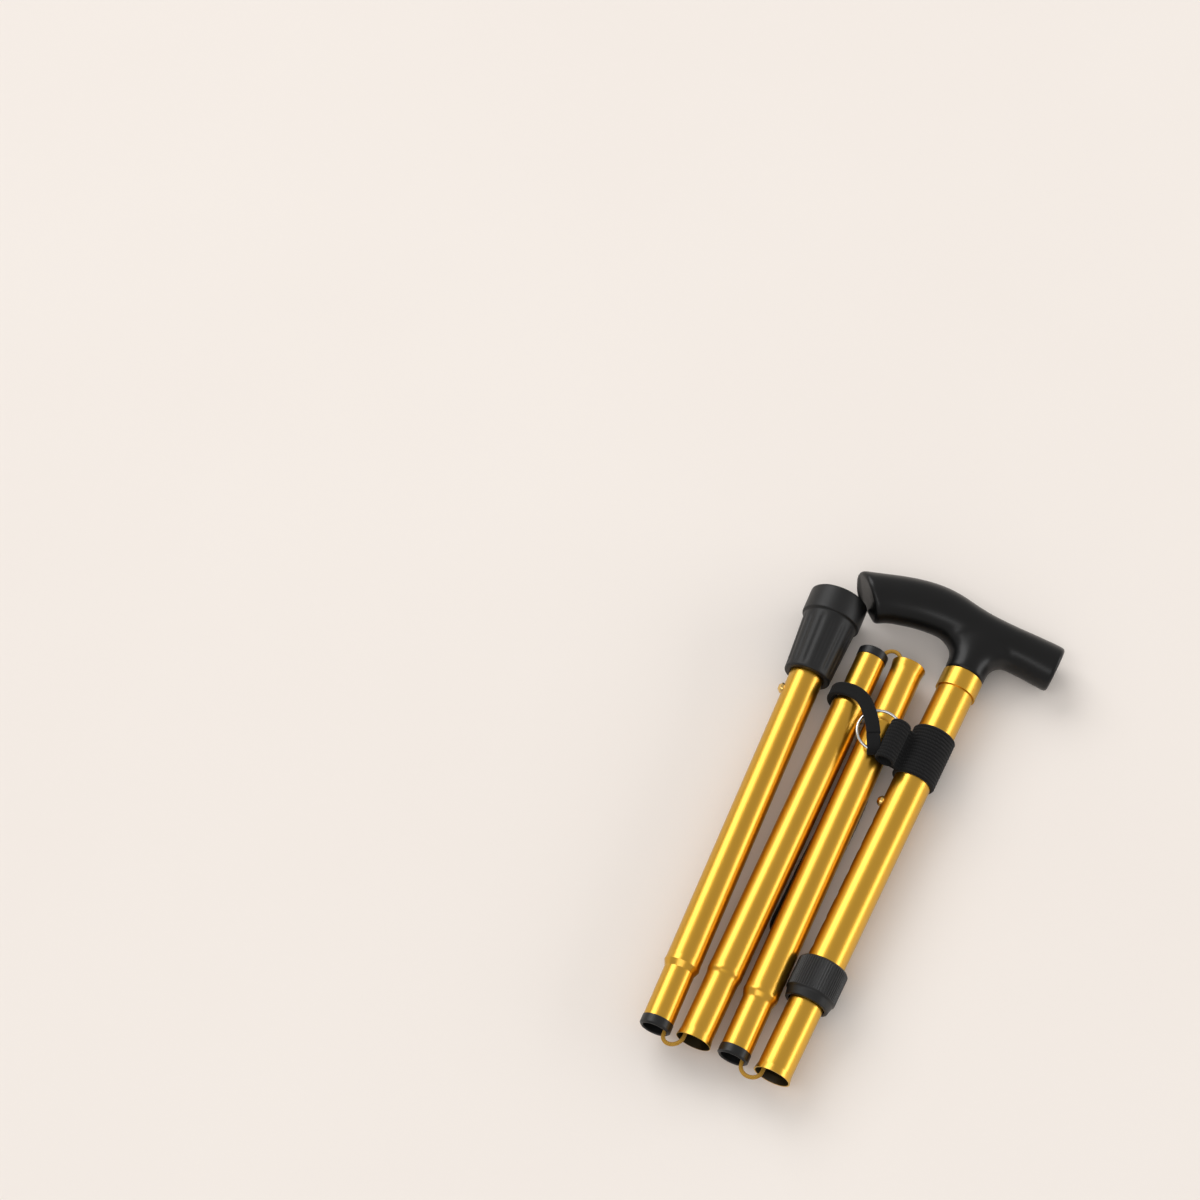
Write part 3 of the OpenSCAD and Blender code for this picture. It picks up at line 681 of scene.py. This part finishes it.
# Thickness of the tab, and how far it reaches below and above the ring's middle
TAB_H, TAB_BELOW, TAB_ABOVE = 0.0012, 0.016, 0.0098
tab_low, tab_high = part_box("ring_tab")
ROLL_R = (tab_high.z - tab_low.z) / 2 - TAB_H / 2
ROLL_X = tab_low.x + ROLL_R + TAB_H / 2
roll_angles = [math.radians(d) for d in range(-20, 316, 15)]
roll = [Vector((ROLL_X + ROLL_R * math.cos(a), 0, RING_Z + ROLL_R * math.sin(a))) for a in roll_angles]
strip_top = from_ring([(-8.2, 0, 26.6), (-10.4, 0, 26.4), (-12.4, 0, 27.2)])
strip_end = from_ring([(-13, 0, 25.8), (-11.4, 0, 25)])
tab_route = [Vector((q.x, 0, q.z)) for q in strip_top + roll + strip_end]
tab_path = [(q.x, q.z) for q in smooth_route(tab_route, 0.0005)]
new_object(
    "ring_tab_elastic",
    ribbed_strip("ring_tab_elastic", tab_path, RING_Y - TAB_BELOW, RING_Y + TAB_ABOVE, TAB_H, ribs=12,
                 depth=0.0004),
    ELASTIC, "handle_section", ["ring_tab"])


# Elastic cord: the turns that show between the tubes, and the stretches and knots inside them

CORD_R, CORD_STEP = 0.0012, 0.0007

for node in ("shock_cord_a", "shock_cord_b", "shock_cord_c", "shock_cord_d", "cord_tail"):
    a, b = end_middles([v.co for v in nodes[node].data.vertices], CORD_R * 0.4)
    count = int((b - a).length / CORD_STEP)
    path = [a.lerp(b, i / count) for i in range(count + 1)]
    new_object(node + "_braid", braided_tube(node + "_braid", path, CORD_R, UP, around=14), SHOCK,
               nodes[node]["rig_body"], [node])

# Millimetres: how far the cord lies off the axis in a mouth, its turn's depth, its tail, a section's length
LEAN, DROP, TAIL, SECTION = 5.7, 5.4, 50.0, 259.0
# Ends of the sections: x and y of the foot from A, fan angle in degrees, height of the end above the foot
A_FOOT, B_FOOT, B_HEAD = (0, 0, 0, 0), (-23.5, -0.5, 1.6, 0), (-23.5, -0.5, 1.6, SECTION)
C_FOOT, C_HEAD, D_FOOT = (-46.5, -1, 1.3, 0), (-46.5, -1, 1.3, SECTION), (-68.5, -4, 3.2, 0)


def on_side(side, x, y):
    """Point in millimetres from A of a place (x, y) beside one end of a section."""
    foot_x, foot_y, fan, height = side
    c, s = math.cos(math.radians(fan)), math.sin(math.radians(fan))
    y += height
    return (foot_x + x * c - y * s, foot_y + x * s + y * c, AXIS_Z / MM)


def turn_route(mouth, end, up):
    """Route of the elastic cord from a mouth on the right to a cap on the left, as in the CAD source."""
    def tail(side, lean):
        rows = ((0, 1), (0, 0.8), (0.5, 0.4), (0.95, 0.12))
        return [on_side(side, lean * share, -up * TAIL * y) for share, y in rows]
    a, b = Vector(on_side(mouth, -LEAN, 0)), Vector(on_side(end, LEAN, 0))
    angles = [math.pi * i / 10 for i in range(11)]
    drop = Vector((0, up * DROP, 0))
    arc = [(a + b) / 2 + (a - b) / 2 * math.cos(t) + drop * math.sin(t) for t in angles]
    return from_a(tail(mouth, -LEAN) + arc + tail(end, LEAN)[::-1])


for node, joint, mouth, end, up in (("cord_bend_1", "fold_1", A_FOOT, B_FOOT, -1),
                                    ("cord_bend_2", "fold_2", B_HEAD, C_HEAD, 1),
                                    ("cord_bend_3", "fold_3", C_FOOT, D_FOOT, -1)):
    path = smooth_route(turn_route(mouth, end, up), CORD_STEP)
    bend = new_object(node + "_braid", braided_tube(node + "_braid", path, CORD_R, UP, around=16), SHOCK,
                      nodes[node]["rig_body"], [node])
    from_a([on_side(mouth, 0, 0)])[0]
    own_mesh(bend)


def stopper_knot(name, centre, size, radius, around=12):
    """Tight overhand knot of the cord's own thickness about a point."""
    def at(t):
        return Vector((math.sin(t) + 2 * math.sin(2 * t), -1.2 * math.sin(3 * t),
                       math.cos(t) - 2 * math.cos(2 * t)))
    count = 120
    angles = [math.tau * j / around for j in range(around)]
    rings = []
    for i in range(count):
        t = math.tau * i / count
        way = (at(t + 0.01) - at(t - 0.01)).normalized()
        side = way.cross(Vector((0.3, 1, 0.2))).normalized()
        top = side.cross(way)
        middle = centre + at(t) * size
        rings.append([middle + (side * math.cos(a) + top * math.sin(a)) * radius for a in angles])
    return skin(name, rings, closed=True)


for node in ("cord_knot", "end_knot"):
    low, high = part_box(node)
    new_object(node + "_cord", stopper_knot(node + "_cord", (low + high) / 2, size=0.00078, radius=0.00115),
               SHOCK, nodes[node]["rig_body"], [node])


# Turned pieces: sections B and C with their drawn-in mouths, the rubber tip and the lock collar
# Their outlines are radius and height in millimetres

def section_place(side, flip=False):
    """Frame of a section: y along its axis from its lower end, or from its upper end if it is flipped."""
    foot = from_a([on_side(side, 0, 0)])[0]
    place = Matrix.Translation(foot) @ Matrix.Rotation(math.radians(side[2]), 4, "Z")
    if flip:
        place = place @ Matrix.Translation((0, SECTION * MM, 0)) @ Matrix.Rotation(math.pi, 4, "Z")
    return place


SECTION_WALL = soft_profile(metres([
    (8.8, 5.5), (8.8, 35.4), (10.25, 39.3), (10, 42.5), (10, 214), (10.22, 216.6), (9.45, 219.4),
    (9.4, 254), (10.15, SECTION), (9.75, SECTION), (9.05, 253), (9.05, 219), (9.2, 214), (9.2, 43),
    (8.1, 36), (8.1, 5.5)]), 0.0009)
for node, side, flip in (("tube_b", B_FOOT, False), ("tube_c", C_FOOT, True)):
    wall = turned(node + "_swaged", section_place(side, flip), SECTION_WALL)
    new_object(node + "_swaged", wall, GOLD, nodes[node]["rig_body"], [node])
    # Painted shade: the section's inner faces get a near-black colour
    paint_bore_shade(wall)

# Millimetres: where the tip starts above D's lower end, its length, the bottom of its tread's grooves
TIP_Y, TIP_L, TREAD = 230.5, 54.0, 52.4
# Number of flutes, their depth, their length in millimetres, and the radius from which on there are any
FLUTES, FLUTE_DEPTH, FLUTE_L, FLUTE_R = 14, 0.0005, 37.0, 0.0132
TIP_OUTLINE = [
    (10.05, 0), (13.8, 0), (16, 37.4), (16.3, 38), (17.5, 38.6), (17.5, TIP_L), (14.9, TIP_L),
    (14.9, TREAD), (13.1, TREAD), (13.1, TIP_L), (10.5, TIP_L), (10.5, TREAD), (8.8, TREAD), (8.8, TIP_L),
    (6.2, TIP_L), (6.2, TREAD), (4.4, TREAD), (4.4, TIP_L), (0.05, TIP_L), (0.05, 45), (9.05, 45),
    (9.05, 12), (10.05, 12)]
TIP = closer(soft_profile(metres([(r, TIP_Y + y) for r, y in TIP_OUTLINE]), 0.0011), 0.002)


def fluted(angle, r, y):
    """Shallow flutes down the tip's body, which fade out at its ends."""
    share = (y / MM - TIP_Y) / FLUTE_L
    if not 0.04 < share < 0.98 or r < FLUTE_R:
        return 0.0
    fade = min(1.0, 8 * share, 8 * (1 - share))
    return -FLUTE_DEPTH * (0.5 + 0.5 * math.cos(FLUTES * angle)) ** 2 * fade


new_object("ferrule_rubber", turned("ferrule_rubber", section_place(D_FOOT), TIP, 12 * FLUTES, fluted),
           RUBBER, "section_d", ["ferrule"])

# Number of ribs on the lock collar and their depth
KNURLS, KNURL_DEPTH = 60, 0.00045
lock_low, lock_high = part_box("lock_collar")
LOCK_R, LOCK_L = (lock_high.x - lock_low.x) / 2 / MM, (lock_high.y - lock_low.y) / MM
# Ends of the ribbed grip and the radius from which on it has ribs, in millimetres
GRIP_LOW, GRIP_HIGH, GRIP_R = 6.0, LOCK_L - 1.2, LOCK_R - 0.4
LOCK = soft_profile(metres([
    (10.6, 0), (LOCK_R - 1.9, 0), (LOCK_R - 0.9, 4.6), (LOCK_R - 0.5, 5.2), (LOCK_R, 5.8), (LOCK_R, 9),
    (LOCK_R, 14), (LOCK_R, 19), (LOCK_R, LOCK_L - 1.3), (LOCK_R - 1.2, LOCK_L), (11.6, LOCK_L),
    (11.6, LOCK_L - 2), (12.9, LOCK_L - 2), (12.9, 1.6), (10.6, 1.6)]), 0.0006)


def knurled(angle, r, y):
    """Fine ribs round the collar's grip."""
    if r < GRIP_R * MM or not GRIP_LOW * MM < y < GRIP_HIGH * MM:
        return 0.0
    return -KNURL_DEPTH * (0.5 + 0.5 * math.cos(KNURLS * angle))


LOCK_PLACE = Matrix.Translation((A_X, lock_low.y, AXIS_Z))
new_object("lock_collar_knurl", turned("lock_collar_knurl", LOCK_PLACE, LOCK, 8 * KNURLS, knurled),
           PLASTIC, "lock", ["lock_collar"])


# Floor and light

# Half side of the floor
FLOOR = 40.0


def make_floor():
    """Plain pale paper."""
    m = Nodes("floor_paper")
    m.set(Specular_IOR_Level=0.2)
    colour = m.ramp(m.noise(3.0), [(0.2, (0.86, 0.80, 0.75)), (0.8, (0.88, 0.825, 0.775))])
    m.out(colour, m.span(m.noise(400.0), 0.75, 0.9), m.bump(m.noise(900.0), 0.0001, 0.2))
    mesh = bpy.data.meshes.new("floor")
    corners = [(-FLOOR, -FLOOR, 0), (FLOOR, -FLOOR, 0), (FLOOR, FLOOR, 0), (-FLOOR, FLOOR, 0)]
    mesh.from_pydata(corners, [], [(0, 1, 2, 3)])
    floor = bpy.data.objects.new("floor", mesh)
    mesh.materials.append(m.material)
    scene.collection.objects.link(floor)


def lamp(name, kind, place, power):
    """Lamp at a place in metres that looks at the object."""
    data = bpy.data.lights.new(name, kind)
    data.energy = power
    light = bpy.data.objects.new(name, data)
    light.location = place
    light.rotation_mode = "QUATERNION"
    light.rotation_quaternion = (-Vector(place)).to_track_quat("-Z", "Y")
    scene.collection.objects.link(light)
    return light


def soft_box(name, place, size, power):
    """Rectangular soft box; its first side is level."""
    data = lamp(name, "AREA", place, power).data
    data.shape = "RECTANGLE"
    data.size, data.size_y = size


def wide_sun(name, place, power, spread):
    """Even light for the whole floor, which leaves no glint on the object."""
    light = lamp(name, "SUN", place, power)
    light.data.angle = math.radians(spread)
    light.visible_glossy = False


make_floor()
world = bpy.data.worlds.new("studio")
scene.world = world
world.use_nodes = True
background = world.node_tree.nodes["Background"]
background.inputs["Color"].default_value = (1.0, 0.98, 0.96, 1)
background.inputs["Strength"].default_value = 0.55
# Place and size in metres, power in watts; the sun's is in watts per square metre, its spread in degrees
soft_box("key", (-6.75, 4.05, 6.2), (8.0, 5.5), 435.0)
soft_box("fill", (7.5, 3.5, 2.5), (7.5, 3.0), 218.0)
soft_box("front", (-1.6, -4.8, 8.6), (9.0, 2.6), 170.0)
wide_sun("room", (-0.35, -0.8, 1.5), 0.14, 80.0)
scene.view_settings.view_transform = "Standard"
